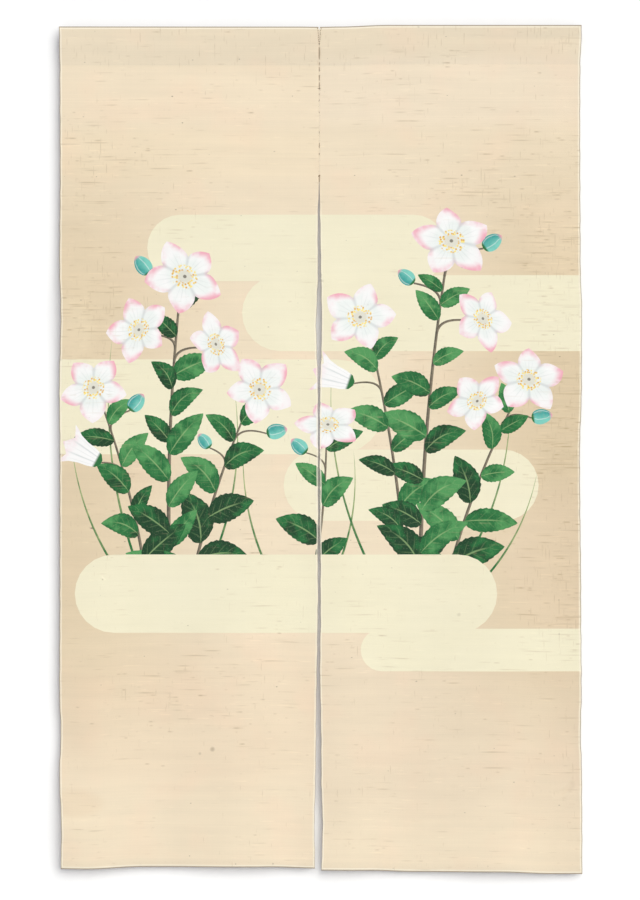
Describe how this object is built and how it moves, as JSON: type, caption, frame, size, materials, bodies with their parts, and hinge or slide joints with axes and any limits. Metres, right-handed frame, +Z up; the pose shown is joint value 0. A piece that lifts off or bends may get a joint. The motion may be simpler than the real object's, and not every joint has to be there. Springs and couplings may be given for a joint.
{
  "type": "noren curtain",
  "caption": "Short doorway curtain of slubbed hemp: panels seamed at the top, parted by a slit below, with an empty rod sleeve along the top edge.",
  "frame": {"origin": "the top of the seam between the panels, on the top edge", "axes": "+Z up, +X to the viewer's right, the painted face looks along -Y"},
  "size_m": [0.882, 0.0224, 1.4307],
  "materials": {
    "hemp": "matt slubbed plain weave, undyed beige, with a painted design on its face",
    "doubled_hemp": "the same cloth in two layers, slightly darker"
  },
  "bodies": {
    "root": {"panel_left": "hemp", "panel_right": "hemp", "sleeve_left": "doubled_hemp", "sleeve_right": "doubled_hemp"}
  },
  "joints": []
}
